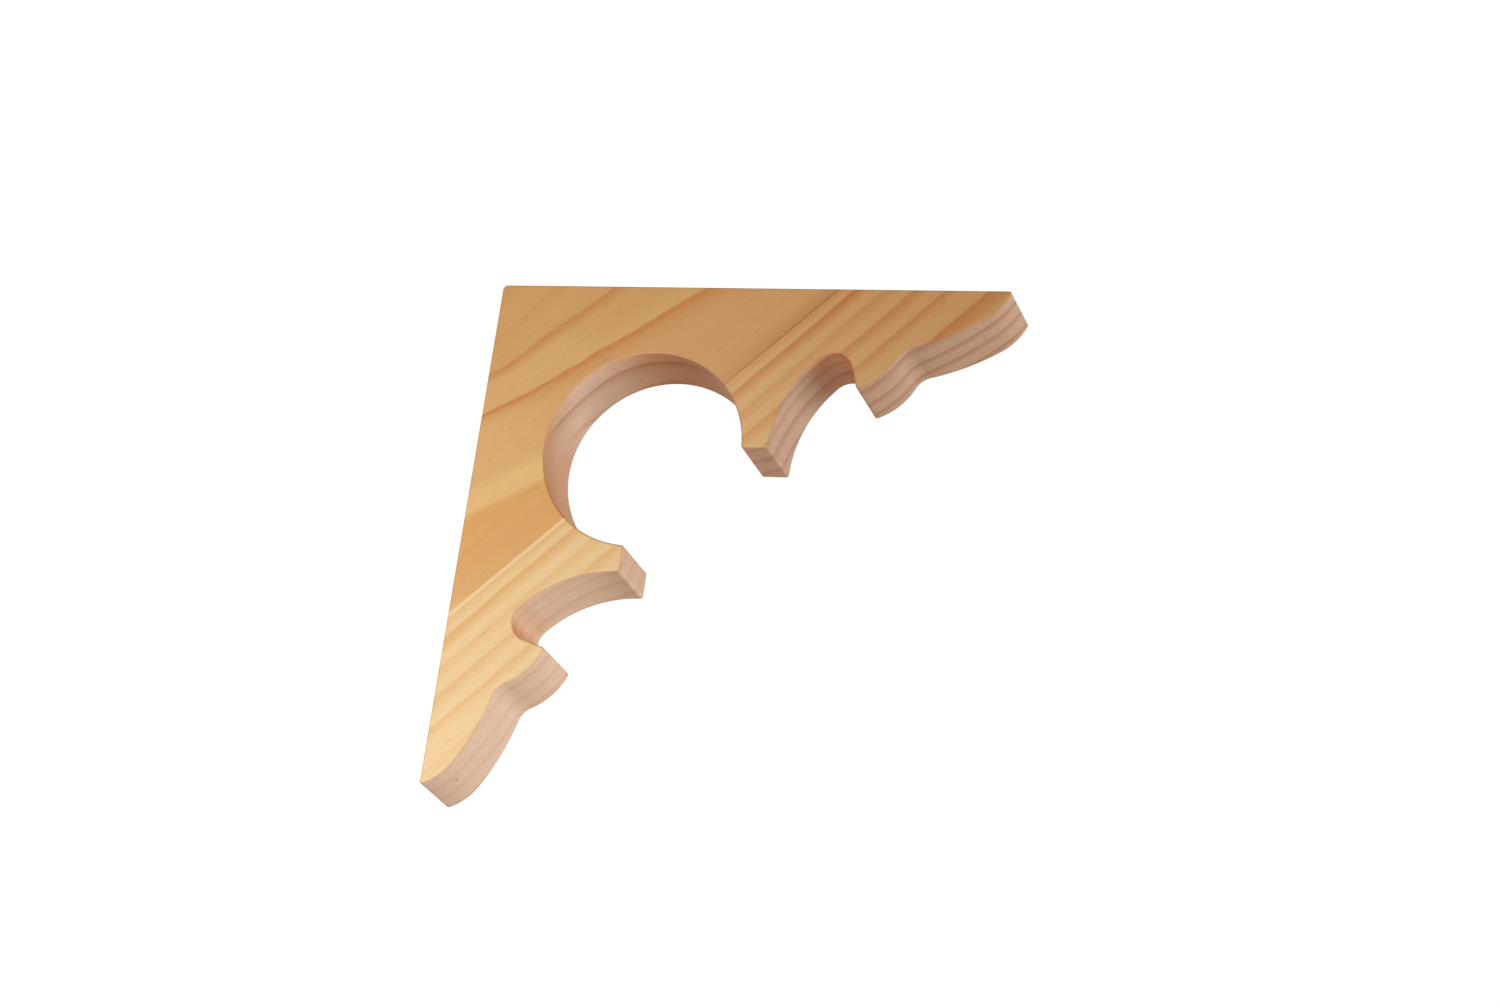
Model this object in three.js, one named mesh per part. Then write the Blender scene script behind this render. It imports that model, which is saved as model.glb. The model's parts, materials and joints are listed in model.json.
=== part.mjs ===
// Fretted corner bracket: one flat pine panel, sawn to a symmetric outline, that braces the corner
// between a post and a beam.
//
// Frame, in millimetres: +Z up, +X along the beam away from the post, Y across the thickness, and
// the origin at the middle of the face that lies against the post. The front face looks along -Y.
import * as THREE from 'three';

// Driving dimensions
const ARM = 254; // length of each straight face, against the post and under the beam
const THICKNESS = 38.1;
const EASED_EDGE = 1; // radius sanded along every long edge
const BACK_CORNER = 2.5; // radius of the corner where the two straight faces meet
const SMALL_CORNER = 1.3; // radius of the tips, hooks and spike corners, seen from the front

// The sawn edge of one arm, in the order in which the saw follows it from the tip of the arm to its
// spike. A positive turn rounds the wood off, and a negative one bites into it.
const TIP = { radius: SMALL_CORNER, turn: 112 };
const NOSE = { radius: 28, turn: 36 };
const FLANK = { radius: 122, turn: 17 };
const NOTCH = { radius: 10.5, turn: -49 };
const LOBE = { radius: 32, turn: 42 };
const HOOK = { radius: SMALL_CORNER, turn: 94 };
const COVE_SIDE = 10.4; // straight cut from the hook up into the cove
const COVE_TOP = { radius: 10, turn: -117 };
const COVE_BACK = { radius: 63.5, turn: -45 };
const SPIKE_CORNER = { radius: SMALL_CORNER, turn: 90 };
const SPIKE_END = 11; // straight part of the spike's flat end, between its two rounded corners
const SPIKE_INNER_CORNER = { radius: SMALL_CORNER, turn: 86 };

// The round cut-out between the two spikes, centred on the bracket's diagonal
const ROUND_CENTRE = 83.8; // from each straight face

// Fineness of the curves
const LONGEST_CHORD = 2.5;
const WIDEST_STEP = 15; // degrees
const EASED_EDGE_STEPS = 2;

const PINE = new THREE.MeshStandardMaterial({ color: '#d9ab6c', roughness: 0.6, metalness: 0 });

// A path drawn by its moves, in a plane whose first axis runs along the beam and whose second axis
// runs down the post. Headings are in degrees from the first axis towards the second.
class SawPath {
  constructor(start, heading) {
    this.points = [start];
    this.heading = heading;
  }

  get end() {
    return this.points.at(-1);
  }

  direction(offset = 0) {
    const angle = THREE.MathUtils.degToRad(this.heading + offset);
    return new THREE.Vector2(Math.cos(angle), Math.sin(angle));
  }

  run(length) {
    this.points.push(this.end.clone().addScaledVector(this.direction(), length));
    return this;
  }

  bend({ radius, turn }) {
    const centre = this.end.clone().addScaledVector(this.direction(90 * Math.sign(turn)), radius);
    this.around(centre, turn);
    this.heading += turn;
    return this;
  }

  around(centre, turn) {
    const start = this.end;
    const sweep = THREE.MathUtils.degToRad(turn);
    const arcLength = Math.abs(sweep) * start.distanceTo(centre);
    const steps = Math.ceil(Math.max(arcLength / LONGEST_CHORD, Math.abs(turn) / WIDEST_STEP));
    for (let step = 1; step <= steps; step += 1) {
      this.points.push(start.clone().rotateAround(centre, (sweep * step) / steps));
    }
    return this;
  }
}

// Half of the outline, from the diagonal at the back corner, along the beam, and back along the sawn
// edge to the diagonal in the round cut-out
function beamHalf() {
  const onDiagonal = BACK_CORNER * (1 - Math.SQRT1_2);
  const path = new SawPath(new THREE.Vector2(onDiagonal, onDiagonal), -45);
  path.bend({ radius: BACK_CORNER, turn: 45 });
  path.run(ARM - SMALL_CORNER - BACK_CORNER);
  path.bend(TIP).bend(NOSE).bend(FLANK).bend(NOTCH).bend(LOBE).bend(HOOK);
  path.run(COVE_SIDE).bend(COVE_TOP).bend(COVE_BACK);
  path.bend(SPIKE_CORNER).run(SPIKE_END).bend(SPIKE_INNER_CORNER);

  const centre = new THREE.Vector2(ROUND_CENTRE, ROUND_CENTRE);
  const spoke = path.end.clone().sub(centre);
  const fromAxis = THREE.MathUtils.radToDeg(Math.atan2(spoke.y, spoke.x));
  const toDiagonal = -(135 + fromAxis);
  return path.around(centre, toDiagonal).points;
}

// The whole outline: the half along the beam and its mirror image along the post, which share their
// two points on the diagonal
function bracketOutline() {
  const half = beamHalf();
  const mirrored = half.slice(1, -1).map((point) => new THREE.Vector2(point.y, point.x));
  return [...half, ...mirrored.reverse()];
}

function bracketGeometry() {
  const upright = bracketOutline().map((point) => new THREE.Vector2(point.x, ARM / 2 - point.y));
  const geometry = new THREE.ExtrudeGeometry(new THREE.Shape(upright), {
    depth: THICKNESS - 2 * EASED_EDGE,
    bevelSize: EASED_EDGE,
    bevelThickness: EASED_EDGE,
    bevelOffset: -EASED_EDGE,
    bevelSegments: EASED_EDGE_STEPS,
  });
  return geometry.translate(0, 0, EASED_EDGE - THICKNESS / 2);
}

const bracket = new THREE.Mesh(bracketGeometry(), PINE);
bracket.name = 'bracket';
bracket.rotation.x = Math.PI / 2; // stands the sawn panel upright

const part = new THREE.Group();
part.name = 'corner_bracket';
part.add(bracket);

export default part;
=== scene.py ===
import cmath
import json
import math

import bpy
import numpy as np
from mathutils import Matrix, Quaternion, Vector, noise


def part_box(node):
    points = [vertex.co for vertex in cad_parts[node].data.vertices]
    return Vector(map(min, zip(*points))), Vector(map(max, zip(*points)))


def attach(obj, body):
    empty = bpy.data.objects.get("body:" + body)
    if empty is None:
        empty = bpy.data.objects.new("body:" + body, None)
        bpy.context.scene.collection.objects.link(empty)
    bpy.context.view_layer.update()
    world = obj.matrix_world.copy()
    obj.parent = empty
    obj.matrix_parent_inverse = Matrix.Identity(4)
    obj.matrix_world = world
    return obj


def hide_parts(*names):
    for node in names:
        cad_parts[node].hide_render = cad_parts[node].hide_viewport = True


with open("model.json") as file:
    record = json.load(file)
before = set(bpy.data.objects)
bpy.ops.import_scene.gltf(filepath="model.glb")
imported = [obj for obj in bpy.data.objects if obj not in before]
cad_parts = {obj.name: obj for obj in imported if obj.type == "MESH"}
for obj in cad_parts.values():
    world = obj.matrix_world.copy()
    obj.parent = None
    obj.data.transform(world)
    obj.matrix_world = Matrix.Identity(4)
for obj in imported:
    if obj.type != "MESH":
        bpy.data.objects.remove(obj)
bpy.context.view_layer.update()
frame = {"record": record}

# Size, from the frame: the beam face's mount lies half an arm out along the beam
DRAWN_ARM = 254  # length of each straight face in the drawing below, in millimetres
BEAM_FACE = next(mount for mount in frame["record"]["mounts"] if mount["name"] == "beam_face")
MM = 2 * BEAM_FACE["pos_m"][0] / DRAWN_ARM  # one millimetre of the drawing, in metres
LOWEST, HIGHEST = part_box("bracket")
THICKNESS = (HIGHEST.y - LOWEST.y) / MM

# Outline, in millimetres and degrees, as in the part's source. Each bend is a radius and a turn.
EASED_EDGE = 1
BACK_CORNER = 2.5
SMALL_CORNER = 1.3
TIP = (SMALL_CORNER, 112)
NOSE = (28, 36)
FLANK = (122, 17)
NOTCH = (10.5, -49)
LOBE = (32, 42)
HOOK = (SMALL_CORNER, 94)
COVE_SIDE = 10.4
COVE_TOP = (10, -117)
COVE_BACK = (63.5, -45)
SPIKE_CORNER = (SMALL_CORNER, 90)
SPIKE_END = 11
SPIKE_INNER_CORNER = (SMALL_CORNER, 86)
ROUND_CENTRE = 83.8

# Fineness of the mesh, in millimetres and degrees
LONGEST_CHORD = 0.9
WIDEST_STEP = 9
EASED_EDGE_STEPS = 5
LONGEST_ROW = 1

# Hand sanding of the sawn edge, in millimetres: its mean depth, which is also how far each ripple
# rises and falls, and then each ripple's length along the edge, its length across it, and its seed
SANDING_DEPTH = 0.05
SANDING_RIPPLES = ((9, 40, 3.1), (34, 60, 8.4))

COVE_SHADE_TAIL = 14  # the painted shade has died out this many points of the outline past a cove's top

# Grain frame, in millimetres: "along" runs with the grain, parallel to the bracket's open side,
# from the foot of the post arm to the end of the beam arm; "across" is the distance from the back
# corner, square to it; and "depth" is the distance behind the front face.
GLUE_LINE = 121  # across, where the corner board meets the outer board
GLUE_WIDTH = 0.2  # over which one board gives way to the other


def srgb(red, green, blue):
    """A colour given as 0 to 255 on screen, as linear light."""

    def linear(value):
        value /= 255
        return value / 12.92 if value <= 0.04045 else ((value + 0.055) / 1.055) ** 2.4

    return (linear(red), linear(green), linear(blue), 1)


class SawPath:
    """A path drawn by its moves, with points as complex numbers: real along the beam, imaginary
    down the post. Headings are in degrees from the first towards the second."""

    def __init__(self, start, heading):
        self.points = [start]
        self.heading = heading

    def direction(self, offset=0):
        return cmath.rect(1, math.radians(self.heading + offset))

    def run(self, length):
        start = self.points[-1]
        steps = math.ceil(length / LONGEST_CHORD)
        for step in range(1, steps + 1):
            self.points.append(start + self.direction() * length * step / steps)

    def bend(self, radius, turn):
        centre = self.points[-1] + self.direction(math.copysign(90, turn)) * radius
        self.around(centre, turn)
        self.heading += turn

    def around(self, centre, turn):
        spoke = self.points[-1] - centre
        arc_length = abs(math.radians(turn) * spoke)
        steps = math.ceil(max(arc_length / LONGEST_CHORD, abs(turn) / WIDEST_STEP))
        for step in range(1, steps + 1):
            self.points.append(centre + spoke * cmath.rect(1, math.radians(turn * step / steps)))


def beam_half():
    """Half of the outline, from the diagonal at the back corner round to the diagonal in the round
    cut-out, with the numbers of the points where the sawn edge, the cove and the cove's top begin,
    and where the cove's top ends."""
    on_diagonal = BACK_CORNER * (1 - math.sqrt(0.5))
    path = SawPath(complex(on_diagonal, on_diagonal), -45)
    path.bend(BACK_CORNER, 45)
    path.run(DRAWN_ARM - SMALL_CORNER - BACK_CORNER)
    sawn_from = len(path.points)
    for corner in (TIP, NOSE, FLANK, NOTCH, LOBE, HOOK):
        path.bend(*corner)
    cove_from = len(path.points)
    path.run(COVE_SIDE)
    top_from = len(path.points)
    path.bend(*COVE_TOP)
    top_to = len(path.points)
    path.bend(*COVE_BACK)
    path.bend(*SPIKE_CORNER)
    path.run(SPIKE_END)
    path.bend(*SPIKE_INNER_CORNER)
    centre = complex(ROUND_CENTRE, ROUND_CENTRE)
    spoke = path.points[-1] - centre
    path.around(centre, -135 - math.degrees(cmath.phase(spoke)))
    return path.points, (sawn_from, cove_from, top_from, top_to)


def outline():
    """The whole outline as points in millimetres, and for each whether it is on the sawn edge, and
    how much painted shade it takes, which lies in the tight top of each cove."""
    half, (sawn_from, cove_from, top_from, top_to) = beam_half()
    order = np.arange(len(half))
    sawn = (order >= sawn_from).astype(float)
    top_middle = (top_from + top_to) / 2
    cove_shade_places = (cove_from, top_from, top_middle, top_to + COVE_SHADE_TAIL)
    cove_shade = np.interp(order, cove_shade_places, (0, 1, 1, 0))

    def whole(values):
        return np.concatenate([values, values[1:-1][::-1]])

    mirrored = [complex(point.imag, point.real) for point in half[1:-1]]
    return np.array(half + mirrored[::-1]), whole(sawn), whole(cove_shade)


def profile():
    """The edge's section, from the front face to the back: how far each row lies inside the
    outline, how deep it is, and how square to the face it looks, from 0 on the face to 1 on the
    edge."""
    rows = []
    for step in range(EASED_EDGE_STEPS + 1):
        angle = math.pi / 2 * step / EASED_EDGE_STEPS
        inset = EASED_EDGE * (1 - math.sin(angle))
        rows.append((inset, EASED_EDGE * (1 - math.cos(angle)), step / EASED_EDGE_STEPS))
    straight = THICKNESS - 2 * EASED_EDGE
    steps = math.ceil(straight / LONGEST_ROW)
    middle = [(0, EASED_EDGE + straight * step / steps, 1) for step in range(1, steps)]
    back = [(inset, THICKNESS - depth, side) for inset, depth, side in reversed(rows)]
    return rows + middle + back


def outward_normals(points):
    """Unit vectors, as complex numbers, that point out of the wood at each point of the outline."""
    before = points - np.roll(points, 1)
    after = np.roll(points, -1) - points
    tangent = before / abs(before) + after / abs(after)
    return tangent / abs(tangent) * -1j


def sanding_hollow(length, depth):
    """How far the hand-sanded edge lies below the outline, in millimetres."""
    hollow = SANDING_DEPTH
    for run, span, seed in SANDING_RIPPLES:
        hollow += SANDING_DEPTH * noise.noise(Vector((length / run, depth / span, seed)))
    return max(0, hollow)


def bracket_mesh():
    points, sawn, cove_shade = outline()
    normals = outward_normals(points)
    lengths = np.cumsum(abs(points - np.roll(points, 1)))
    rows = profile()
    count = len(points)

    vertices = []
    sides = []
    for inset, depth, side in rows:
        for point, normal, length, cut in zip(points, normals, lengths, sawn):
            hollow = sanding_hollow(length, depth) * cut * (side == 1)
            place = point - normal * (inset + hollow)
            vertices.append((place.real, depth - THICKNESS / 2, DRAWN_ARM / 2 - place.imag))
            sides.append(side)

    faces = []
    for row in range(len(rows) - 1):
        for index in range(count):
            following = (index + 1) % count
            faces.append((row * count + index, row * count + following,
                          (row + 1) * count + following, (row + 1) * count + index))
    faces.append(tuple(range(count))[::-1])
    faces.append(tuple(range((len(rows) - 1) * count, len(rows) * count)))

    mesh = bpy.data.meshes.new("bracket_pine")
    mesh.from_pydata((np.array(vertices) * MM).tolist(), [], faces)
    mesh.validate()
    values = {
        "edge": sides,
        "sawn": np.tile(sawn, len(rows)),
        "cove_shade": np.tile(cove_shade, len(rows)),
        "length": np.tile(lengths, len(rows)),
        "end_grain": np.tile(abs(normals.real - normals.imag) * math.sqrt(0.5), len(rows)),
    }
    for name, numbers in values.items():
        layer = mesh.attributes.new(name, "FLOAT", "POINT")
        layer.data.foreach_set("value", np.array(numbers, np.float32))
    return mesh


# Shader nodes, written as sums
class Value:
    """A number or a colour that changes from place to place, worked out by shader nodes."""

    def __init__(self, tree, socket):
        self.tree = tree
        self.socket = socket

    def with_others(self, operation, *others):
        node = self.tree.nodes.new("ShaderNodeMath")
        node.operation = operation
        for socket, value in zip(node.inputs, (self, *others)):
            plug(value, socket)
        return Value(self.tree, node.outputs[0])

    def __add__(self, other):
        return self.with_others("ADD", other)

    def __sub__(self, other):
        return self.with_others("SUBTRACT", other)

    def __mul__(self, other):
        return self.with_others("MULTIPLY", other)

    def __truediv__(self, other):
        return self.with_others("DIVIDE", other)

    def at_least(self, other):
        return self.with_others("MAXIMUM", other)

    def at_most(self, other):
        return self.with_others("MINIMUM", other)

    def root(self):
        return self.with_others("SQRT")

    def size(self):
        return self.with_others("ABSOLUTE")

    def from_one(self):
        return self * -1 + 1

    def between(self, low, high):
        """0 at low and past it, 1 at high and past it, and a smooth step between the two, of which
        low may be the larger number."""
        node = self.tree.nodes.new("ShaderNodeMapRange")
        node.interpolation_type = "SMOOTHSTEP"
        plug(self, node.inputs["Value"])
        node.inputs["From Min"].default_value = low
        node.inputs["From Max"].default_value = high
        return Value(self.tree, node.outputs[0])

    def near(self, place, reach):
        """1 at the place, and 0 from its reach on to both sides."""
        return (self - place).size().between(reach, 0)


def plug(value, socket):
    if isinstance(value, Value):
        value.tree.links.new(value.socket, socket)
    else:
        socket.default_value = value


def combined(x, y, z):
    tree = x.tree
    node = tree.nodes.new("ShaderNodeCombineXYZ")
    for socket, value in zip(node.inputs, (x, y, z)):
        plug(value, socket)
    return Value(tree, node.outputs[0])


def coordinates(tree, kind):
    """The three coordinates of a place on a surface, or of a direction out into the world."""
    place = tree.nodes.new("ShaderNodeTexCoord")
    parts = tree.nodes.new("ShaderNodeSeparateXYZ")
    tree.links.new(place.outputs[kind], parts.inputs[0])
    return [Value(tree, output) for output in parts.outputs]


def attribute(tree, name):
    node = tree.nodes.new("ShaderNodeAttribute")
    node.attribute_name = name
    return Value(tree, node.outputs["Fac"])


def noise_of(x, y, z, detail, roughness=0.5):
    """Smooth noise from -1 to 1 at three stretched coordinates."""
    node = x.tree.nodes.new("ShaderNodeTexNoise")
    node.inputs["Scale"].default_value = 1
    node.inputs["Detail"].default_value = detail
    node.inputs["Roughness"].default_value = roughness
    plug(combined(x, y, z), node.inputs["Vector"])
    return Value(x.tree, node.outputs[0]) * 2 - 1


def grain_noise(place, length, width, detail, roughness=0.5):
    """Noise drawn out along the grain, with patches of a length and a width in millimetres."""
    along, across, depth = place
    return noise_of(along / length, across / width, depth / width, detail, roughness)


def ramp(value, stops):
    """Colours set at places of a value, in order, with a straight blend from each to the next."""
    node = value.tree.nodes.new("ShaderNodeValToRGB")
    first, last = stops[0][0], stops[-1][0]
    plug((value - first) / (last - first), node.inputs[0])
    elements = node.color_ramp.elements
    elements[0].position = 0
    elements[1].position = 1
    for place, _ in stops[1:-1]:
        elements.new((place - first) / (last - first))
    for element, (_, colour) in zip(elements, stops):
        element.color = colour
    return Value(value.tree, node.outputs[0])


def level_ramp(value, stops):
    """A ramp of levels from 0 to 1 in place of colours."""
    return ramp(value, [(place, (level, level, level, 1)) for place, level in stops])


def blend(amount, first, second, kind="MIX"):
    tree = next(value.tree for value in (amount, first, second) if isinstance(value, Value))
    node = tree.nodes.new("ShaderNodeMix")
    node.data_type = "RGBA"
    node.blend_type = kind
    factor, _, _, _, _, _, start, end = node.inputs[:8]
    plug(amount, factor)
    plug(first, start)
    plug(second, end)
    return Value(tree, node.outputs[2])


def tinted(amount, colour, tint):
    """A colour multiplied by a tint, by an amount from 0 to 1."""
    return blend(amount, colour, tint, "MULTIPLY")


BLACK = (0, 0, 0, 1)
WHITE = (1, 1, 1, 1)

# Colours of the planed pine, as on screen in white light
HEART = srgb(192, 144, 91)
LINE = srgb(183, 120, 64)
LIGHT = srgb(196, 153, 97)
PALE = srgb(203, 163, 106)
MELLOW = srgb(200, 155, 98)
HONEY = srgb(192, 146, 90)
FLAME = srgb(195, 144, 82)
# The outer board's early and late wood at the post and at the beam: paler at the post, partly the
# wood's own colour and partly painted light
STRAW_AT_POST = srgb(207, 176, 127)
STRAW_AT_BEAM = srgb(192, 144, 89)
RUSSET_AT_POST = srgb(197, 150, 91)
RUSSET_AT_BEAM = srgb(175, 105, 53)
GLUE_PALE = srgb(222, 194, 148)
KNOT = srgb(162, 108, 77)

# Colours of the sawn edge; the darker ones at the beam are partly the wood's own colour and partly
# painted shade
SAWN_EARLY_AT_POST = srgb(214, 182, 158)
SAWN_LATE_AT_POST = srgb(203, 165, 138)
SAWN_EARLY_AT_BEAM = srgb(178, 142, 117)
SAWN_LATE_AT_BEAM = srgb(157, 109, 80)

# Tints, by which a colour is multiplied. The corner board's sawn edge is all in the round cut-out,
# and its tints are for its late wood, its front towards the post, its back by the diagonal, and its
# part towards the beam. The last three are partly the wood's own colour and partly painted light:
# painted shade in front towards the post, a painted sheen by the diagonal, painted shade at the
# beam.
GLUE_DARK = (0.68, 0.50, 0.38, 1)
CORNER_BAND = (0.88, 0.76, 0.62, 1)
CORNER_BROWN_AND_SHADE = (0.87, 0.80, 0.70, 1)
CORNER_PALE_AND_SHEEN = (1.22, 1.24, 1.24, 1)
CORNER_RUSSET_AND_SHADE = (1.02, 0.94, 0.83, 1)
# painted shade on the outer board's sawn edge round the post arm's spike
SPIKE_SHADE_AT_POST = (0.86, 0.85, 0.81, 1)
CORNER_END_GRAIN = (0.72, 0.44, 0.19, 1)
OUTER_END_GRAIN = (0.88, 0.64, 0.49, 1)
# painted shade in the tight top of each cove, darker at the post and redder, as by light bounced
# off the wood, at the beam
COVE_SHADE_AT_POST = (0.92, 0.83, 0.68, 1)
COVE_SHADE_AT_BEAM = (1.22, 0.94, 0.76, 1)
# painted shade along the sawn edge's eased arris
ARRIS_SHADE = (0.86, 0.78, 0.70, 1)
DASH = (0.80, 0.72, 0.66, 1)
TONE = (0.035, 0.065, 0.1)  # how far the grain's tone moves red, green and blue

# Marks that the saw left in the sawn edge, in millimetres
SAW_MARK_WIDTH = 0.8  # along the edge
SAW_MARK_LENGTH = 30  # from front to back
SAW_MARK_CHANGE = 50  # along the edge, over which one pattern of marks turns into another

# Corner board, in millimetres. Its pith leans across the board. It lies just behind the front face
# at its bend, and curves out before the face on both sides of that. A ring's number is how far from
# the pith it meets the front face on the diagonal.
PITH = 77.5  # across, on the diagonal
PITH_LEAN = 0.278  # across for each millimetre along
PITH_BEND = 4  # along
PITH_CURVE = 0.0125  # before the face, times the square of how far along it is from the bend
PITH_BEHIND = 0.5  # behind the face, at the bend
PITH_FURTHEST = 16  # before the face
RING_SPREAD = 0.005  # share by which the rings stand further apart for each millimetre along
RING_SPREAD_FROM = -25
RING_SPREAD_TO = 75
CORNER_WANDER = 1.6
CORNER_RAGGED = 1.1
CORNER_RINGS_TO = 130

# Its early wood's colours by ring, on the side of the pith towards the back corner and on the side
# towards the glue line
EARLY_TO_CORNER = ((0, LIGHT), (33, LIGHT), (40.5, HONEY), (CORNER_RINGS_TO, HONEY))
EARLY_TO_GLUE = (
    (0, LIGHT), (20, LIGHT), (26, PALE), (35, PALE), (39, FLAME), (66, FLAME), (78, HONEY),
    (88, MELLOW), (CORNER_RINGS_TO, MELLOW),
)

# How late its wood is by ring: the inner ring on the front face and inside the board, then the
# rings outside it, of which the first is the clearest
INNER_RING_AT_FACE = ((0, 0), (8.5, 0), (13.5, 0.35), (16.2, 1), (17, 1), (18, 0), (40, 0))
INNER_RING_BELOW = ((0, 0), (14.6, 0), (15.8, 1), (17.6, 0.6), (20.5, 0.2), (27, 0))
SECOND_RING = ((30, 0), (34, 0), (38.8, 0.8), (39.6, 0.8), (40.4, 0))
FAINT_RINGS = (57, 74, 90, 106)
FAINT_RING_RISE = 6
FAINT_RING_FALL = 0.8
FAINT_RING_LEVEL = 0.3

# Outer board, in millimetres: how far across each ring meets the front face on the diagonal, how
# late its wood is there, and how far it takes to fade
OUTER_RINGS = (
    (122.6, 0.45, 3.6), (128.1, 1, 5.8), (138.6, 0.5, 5.8), (149, 0.7, 5.8), (160, 0.65, 5),
    (174.8, 0.85, 9), (194, 0.9, 5.8), (209, 0.9, 5.8), (225, 0.9, 5.8),
)
OUTER_RING_RISE = 1.5
OUTER_RINGS_FROM = 110
OUTER_RINGS_TO = 245
OUTER_SLOPE = 1.25  # across for each millimetre of depth
OUTER_LEAN = 0.013  # across for each millimetre along
OUTER_WANDER = 0.9
FOOT_LOSS = 0.25  # share by which the outermost rings are fainter at the foot of the post arm
FOOT_LOSS_AT_FACE = 0.45  # the further share near its front face

# Marks along the glue line on the planed faces: how far across from it each lies, how far it
# reaches, and how strong it is
GLUE_PALE_LINE = (-0.1, 0.9, 0.6)
GLUE_DARK_LINE = (2, 0.7, 0.3)
GLUE_STAIN_LINE = (-0.6, 1.2, 1)
GLUE_STAIN_AROUND = 0.4  # strength of a wider stain on the corner board's side

# Small marks in the wood: place in the grain frame, radii, and strength
PIN_KNOT = ((-166, 182.7, 15.5), (1.2, 1.2, 1.5), 0.6)  # sawn edge, near the post arm's foot
RESIN_SPECK = ((167, 182.9, 34), (1.4, 1.4, 1.1), 0.8)  # sawn edge, near the beam arm's end
FLECK = ((-52, 98, 0), (3.5, 0.6, 1), 0.35)  # front face

PLANED_ROUGHNESS = 0.45
SAWN_ROUGHNESS = 0.55
BUMP_STRENGTH = 0.25
BUMP_HEIGHT = 0.0002  # metres


def grain_frame(tree):
    """The three coordinates of the grain frame, in millimetres."""
    x, y, z = coordinates(tree, "Object")
    beam = x / MM
    post = (z - HIGHEST.z) / -MM
    depth = (y - LOWEST.y) / MM
    along = (beam - post) * math.sqrt(0.5)
    across = (beam + post) * math.sqrt(0.5)
    return along, across, depth


def corner_board(place):
    """The flat-sawn board at the back corner: how late its wood is, from 0 to 1, and the colours
    of its early and its late wood."""
    along, across, depth = place
    wander = grain_noise(place, length=45, width=22, detail=3) * CORNER_WANDER
    ragged = grain_noise(place, length=20, width=2.4, detail=3) * CORNER_RAGGED
    off_pith = across + wander + ragged - (along * PITH_LEAN + PITH)
    off_bend = along - PITH_BEND
    before_face = (off_bend * off_bend * PITH_CURVE - PITH_BEHIND).at_most(PITH_FURTHEST)
    reach = off_pith * off_pith + depth * depth + before_face * depth * 2
    spread = along.at_least(RING_SPREAD_FROM).at_most(RING_SPREAD_TO) * RING_SPREAD + 1
    ring = reach.at_least(0).root() / spread
    glue_side = off_pith.between(-9, 9)

    corner_at_beam = along.between(0, 30) * ring.between(18, 26)
    early_to_corner = blend(corner_at_beam, ramp(ring, EARLY_TO_CORNER), HONEY)
    early = blend(glue_side, early_to_corner, ramp(ring, EARLY_TO_GLUE))
    heart = ring.between(19, 14) * along.between(-50, 10)
    heart_at_beam = glue_side * along.between(10, 35) * ring.between(12, 20)
    early = blend(heart, early, HEART)
    early = blend(heart_at_beam, early, HEART)

    at_face = level_ramp(ring, INNER_RING_AT_FACE)
    below = level_ramp(ring, INNER_RING_BELOW)
    inner = blend(depth.between(0, 4), at_face, below)
    lost_at_post = along.between(-24, -33)
    lost_at_beam = along.between(5, 25)
    lost = glue_side * lost_at_post.at_least(lost_at_beam) * depth.between(9, 2)
    inner = blend(lost, inner, BLACK)
    stops = list(SECOND_RING)
    for peak in FAINT_RINGS:
        stops += [(peak - FAINT_RING_RISE, 0), (peak, FAINT_RING_LEVEL)]
        stops.append((peak + FAINT_RING_FALL, 0))
    stops.append((CORNER_RINGS_TO, 0))
    outer = blend(glue_side, level_ramp(ring, stops), BLACK)
    return inner.at_least(outer), early, LINE


def outer_board(place):
    """The rift-sawn board on the open side: how late its wood is, from 0 to 1, and the colours of
    its early and its late wood. Its rings slope through the panel, and each has a crisp side and a
    long fade. It is paler towards the post, partly in its own colour and partly as painted light."""
    along, across, depth = place
    wander = grain_noise(place, length=60, width=16, detail=3) * OUTER_WANDER
    ring = across + depth * OUTER_SLOPE + along * OUTER_LEAN + wander
    stops = [(OUTER_RINGS_FROM, 0)]
    for meets_face, level, fade in OUTER_RINGS:
        stops += [(meets_face - OUTER_RING_RISE, 0), (meets_face, level), (meets_face + fade, 0)]
    stops.append((OUTER_RINGS_TO, 0))
    at_foot = along.between(-105, -135) * ring.between(168, 173)
    lost = at_foot * (depth.between(6, 2) * FOOT_LOSS_AT_FACE + FOOT_LOSS)
    late = level_ramp(ring, stops) * lost.from_one()
    # paler towards the post, partly the wood's own colour and partly painted light
    to_beam_and_shade = along.between(-70, 160)
    early_wood = blend(to_beam_and_shade, STRAW_AT_POST, STRAW_AT_BEAM)
    late_wood = blend(to_beam_and_shade, RUSSET_AT_POST, RUSSET_AT_BEAM)
    return late, early_wood, late_wood


def glue_mark(across, mark):
    offset, reach, strength = mark
    return across.near(GLUE_LINE + offset, reach) * strength


def planed_wood(place, beyond_glue, wood):
    """The planed faces' wood with its glue line, which is pale at the post and dark at the beam."""
    along, across, _ = place
    at_post = along.between(0, -20)
    at_beam = along.between(20, 85)
    wood = blend(glue_mark(across, GLUE_PALE_LINE) * at_post, wood, GLUE_PALE)
    wood = tinted(glue_mark(across, GLUE_DARK_LINE) * at_post, wood, GLUE_DARK)
    around = across.between(111, 120) * GLUE_STAIN_AROUND
    stain = glue_mark(across, GLUE_STAIN_LINE).at_least(around)
    return tinted(stain * beyond_glue.from_one() * at_beam, wood, GLUE_DARK)


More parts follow.
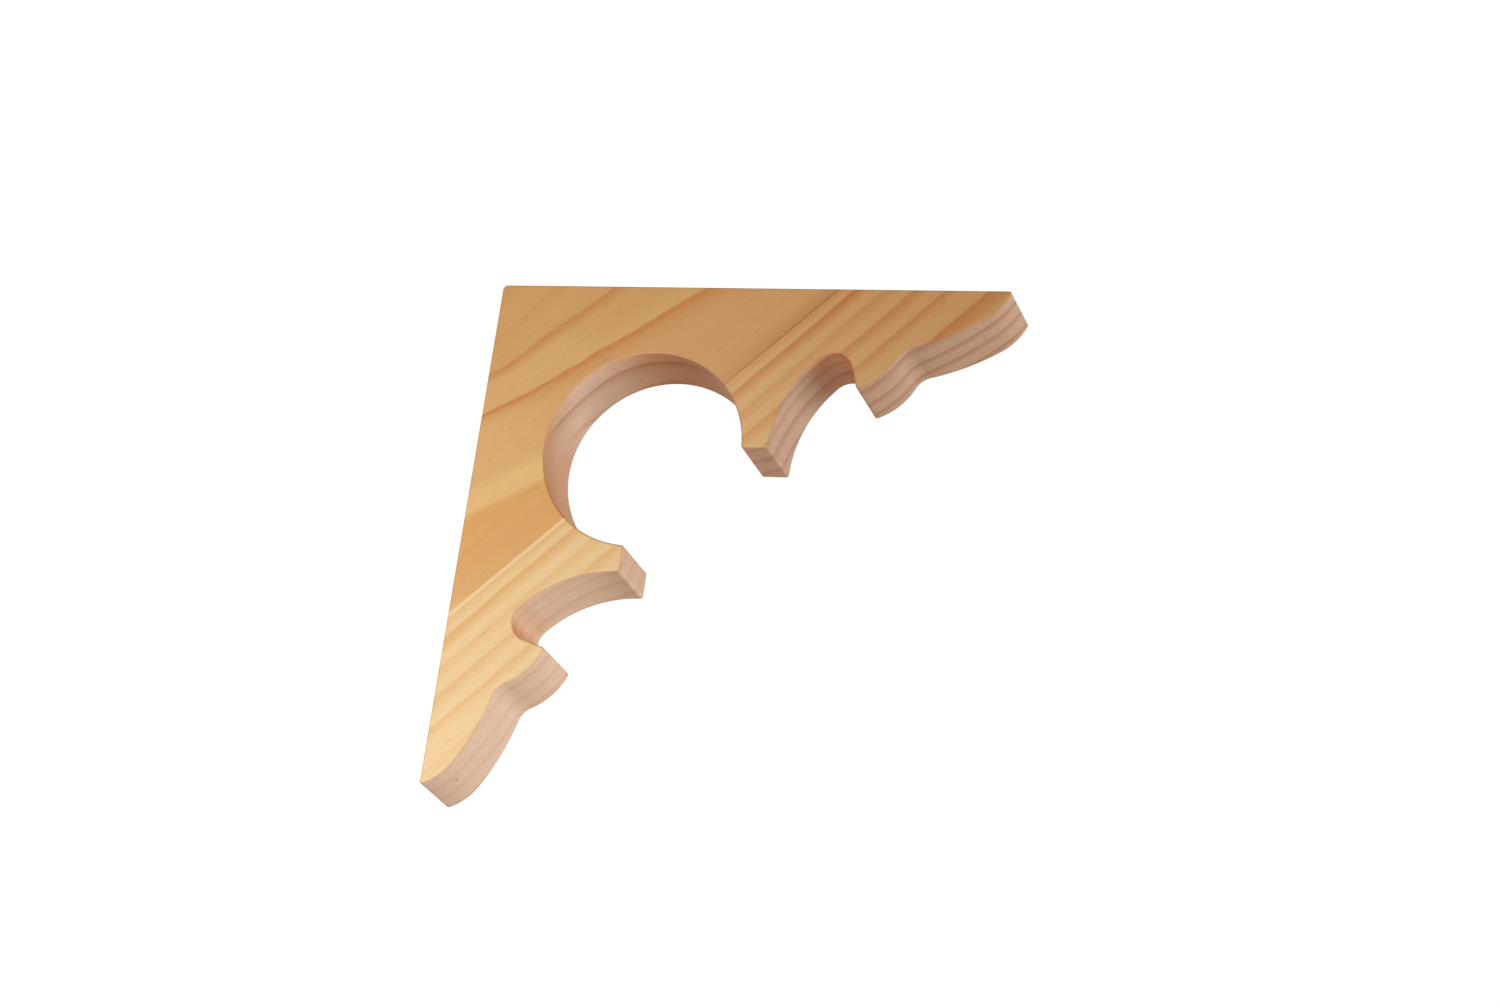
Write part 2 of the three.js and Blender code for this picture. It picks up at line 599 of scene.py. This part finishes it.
def sawn_wood(place, beyond_glue, late):
    """The sawn edge's wood, with end grain that differs between the boards, and with painted shade
    in the tops of the coves, round the post arm's spike, towards the beam and on the cut-out's
    wall, where a painted sheen lies by the diagonal.
    """
    along, _, depth = place
    tree = along.tree
    end_grain = attribute(tree, "end_grain")
    cove_shade = attribute(tree, "cove_shade")
    corner = beyond_glue.from_one()
    # darker towards the beam, partly the wood's own colour and partly painted shade
    to_beam_and_shade = along.between(-10, 60)
    early = blend(to_beam_and_shade, SAWN_EARLY_AT_POST, SAWN_EARLY_AT_BEAM)
    wood = blend(late, early, blend(to_beam_and_shade, SAWN_LATE_AT_POST, SAWN_LATE_AT_BEAM))

    # painted light and shade on the cut-out's wall, partly the wood's own colour: painted shade in
    # front towards the post, a painted sheen (pale) by the diagonal, painted shade towards the beam
    brown_and_shade = depth.between(22, 6) * along.between(-2, -22) * corner
    pale = depth.between(8, 28) * along.near(-2, 32) * corner
    russet_and_shade = along.between(5, 25) * corner
    # painted shade round the post arm's spike
    spike_shade_at_post = along.near(-30, 42) * beyond_glue
    end = blend(beyond_glue, end_grain.between(0.2, 1), end_grain.between(0.5, 0.95))
    end_tint = blend(beyond_glue, CORNER_END_GRAIN, OUTER_END_GRAIN)
    # painted shade in the tops of the coves
    cove_shaded = blend(to_beam_and_shade, cove_shade.between(0.3, 1), cove_shade.between(0, 0.5))
    cove_shade_tint = blend(to_beam_and_shade, COVE_SHADE_AT_POST, COVE_SHADE_AT_BEAM)
    for amount, tint in (
        (late * corner, CORNER_BAND),
        (brown_and_shade, CORNER_BROWN_AND_SHADE),
        (pale, CORNER_PALE_AND_SHEEN),
        (russet_and_shade, CORNER_RUSSET_AND_SHADE),
        (spike_shade_at_post, SPIKE_SHADE_AT_POST),
        (end, end_tint),
        (cove_shaded, cove_shade_tint),
    ):
        wood = tinted(amount, wood, tint)
    return wood


def spot(place, mark):
    """How strongly a small egg-shaped mark in the wood shows, which is 0 from its skin on."""
    centres, radii, strength = mark
    x, y, z = [(value - centre) / radius for value, centre, radius in zip(place, centres, radii)]
    return (x * x + y * y + z * z).between(1, 0.15) * strength


def pine():
    material = bpy.data.materials.new("pine")
    material.use_nodes = True
    tree = material.node_tree
    shader = tree.nodes["Principled BSDF"]
    place = grain_frame(tree)
    across, depth = place[1:]
    edge = attribute(tree, "edge")
    sawn = attribute(tree, "sawn")
    length = attribute(tree, "length")
    cut = edge * sawn

    beyond_glue = across.between(GLUE_LINE - GLUE_WIDTH / 2, GLUE_LINE + GLUE_WIDTH / 2)
    boards = zip(corner_board(place), outer_board(place))
    late, early_wood, late_wood = [blend(beyond_glue, inner, outer) for inner, outer in boards]
    planed = planed_wood(place, beyond_glue, blend(late, early_wood, late_wood))
    wood = blend(cut, planed, sawn_wood(place, beyond_glue, late))
    # painted shade along the sawn edge's eased arris
    arris_shade = edge.from_one() * edge * sawn * 4  # 1 halfway round the eased edge
    wood = tinted(arris_shade, wood, ARRIS_SHADE)

    fibres = grain_noise(place, length=16, width=0.9, detail=4, roughness=0.6)
    streaks = grain_noise(place, length=40, width=3.2, detail=3)
    saw_marks = noise_of(
        length / SAW_MARK_WIDTH, depth / SAW_MARK_LENGTH, length / SAW_MARK_CHANGE, detail=2,
    )
    in_streak = (streaks * 1.5 + 0.6).at_least(0).at_most(1)
    dashes = grain_noise(place, length=9, width=0.75, detail=0).between(0.42, 0.62) * in_streak
    wood = tinted(dashes, wood, DASH)
    tone = fibres * 0.8 + streaks + saw_marks * cut * 0.5
    wood = tinted(1, wood, combined(*(tone * share + 1 for share in TONE)))

    spots = (spot(place, PIN_KNOT) + spot(place, RESIN_SPECK) + spot(place, FLECK)).at_most(1)
    wood = blend(spots, wood, KNOT)
    plug(wood, shader.inputs["Base Color"])
    roughness = cut * (SAWN_ROUGHNESS - PLANED_ROUGHNESS) + PLANED_ROUGHNESS
    plug(roughness, shader.inputs["Roughness"])

    bump = tree.nodes.new("ShaderNodeBump")
    bump.inputs["Strength"].default_value = BUMP_STRENGTH
    bump.inputs["Distance"].default_value = BUMP_HEIGHT
    plug(fibres * (cut + 0.5) + saw_marks * cut - spots, bump.inputs["Height"])
    tree.links.new(bump.outputs[0], shader.inputs["Normal"])
    return material


def in_scene(name, data):
    thing = bpy.data.objects.new(name, data)
    bpy.context.scene.collection.objects.link(thing)
    return thing


def make_bracket():
    mesh = bracket_mesh()
    mesh.materials.append(pine())
    for polygon in mesh.polygons:
        polygon.use_smooth = len(polygon.vertices) == 4
    piece = in_scene("bracket_pine", mesh)
    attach(piece, "root")
    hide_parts("bracket")


# Studio, in metres, degrees and watts
FLOOR_DROP = 1.1  # from the origin down to the floor
FLOOR_HALF = 12
FLOOR_COLOUR = (0.80, 0.77, 0.72, 1)
FLOOR_ROUGHNESS = 0.9

CAMERA_AZIMUTH = 18.60
CAMERA_ELEVATION = -19.85
CAMERA_ROLL = 8.18
CAMERA_DISTANCE = 1.8865
CAMERA_AIM = Vector((0.1348, 0, 0.0239))
CAMERA_LENS = 96  # millimetres
CAMERA_SENSOR = 36  # millimetres

LIGHTS_AIM = Vector((0.12, 0, 0.03))
WINDOW_LIGHT = {"place": (-0.12, -0.45, -0.13), "size": 0.3, "watts": 2.05}
SIDE_LIGHT = {"place": (1.98, -0.33, -0.2), "size": 1.0, "watts": 25}

ROOM_LIGHT = 0.42
ROOM_COLOUR = (1, 0.94, 0.86, 1)
WHITE_WALL = 1.04
WHITE_WALL_EDGE = (0.45, 0.7)  # where the wall begins and is full, as a direction's share of +Y


def make_camera():
    data = bpy.data.cameras.new("camera")
    data.lens = CAMERA_LENS
    data.sensor_width = CAMERA_SENSOR
    camera = in_scene("camera", data)
    azimuth = math.radians(CAMERA_AZIMUTH)
    elevation = math.radians(CAMERA_ELEVATION)
    back = Vector((
        math.sin(azimuth) * math.cos(elevation),
        -math.cos(azimuth) * math.cos(elevation),
        math.sin(elevation),
    ))
    camera.location = CAMERA_AIM + back * CAMERA_DISTANCE
    camera.rotation_mode = "QUATERNION"
    roll = Quaternion((0, 0, 1), math.radians(CAMERA_ROLL))
    camera.rotation_quaternion = (-back).to_track_quat("-Z", "Y") @ roll
    bpy.context.scene.camera = camera


def make_light(name, place, size, watts):
    data = bpy.data.lights.new(name, "AREA")
    data.size = size
    data.energy = watts
    light = in_scene(name, data)
    light.location = place
    light.rotation_mode = "QUATERNION"
    light.rotation_quaternion = (LIGHTS_AIM - Vector(place)).to_track_quat("-Z", "Y")
    light.visible_camera = False


def make_floor():
    mesh = bpy.data.meshes.new("floor")
    signs = ((-1, -1), (1, -1), (1, 1), (-1, 1))
    corners = [(x * FLOOR_HALF, y * FLOOR_HALF, -FLOOR_DROP) for x, y in signs]
    mesh.from_pydata(corners, [], [(0, 1, 2, 3)])
    material = bpy.data.materials.new("floor_paint")
    material.use_nodes = True
    shader = material.node_tree.nodes["Principled BSDF"]
    shader.inputs["Base Color"].default_value = FLOOR_COLOUR
    shader.inputs["Roughness"].default_value = FLOOR_ROUGHNESS
    mesh.materials.append(material)
    floor = in_scene("floor", mesh)


def make_world():
    """A soft even light from all round, and a white wall of light far behind the bracket."""
    world = bpy.data.worlds.new("studio")
    world.use_nodes = True
    bpy.context.scene.world = world
    tree = world.node_tree
    background = tree.nodes["Background"]
    _, y, _ = coordinates(tree, "Generated")
    behind = y.between(*WHITE_WALL_EDGE)
    plug(behind * (WHITE_WALL - ROOM_LIGHT) + ROOM_LIGHT, background.inputs["Strength"])
    plug(blend(behind, ROOM_COLOUR, WHITE), background.inputs["Color"])


make_camera()
make_bracket()
make_floor()
make_world()
make_light("window", **WINDOW_LIGHT)
make_light("side", **SIDE_LIGHT)
bpy.context.scene.view_settings.view_transform = "Standard"
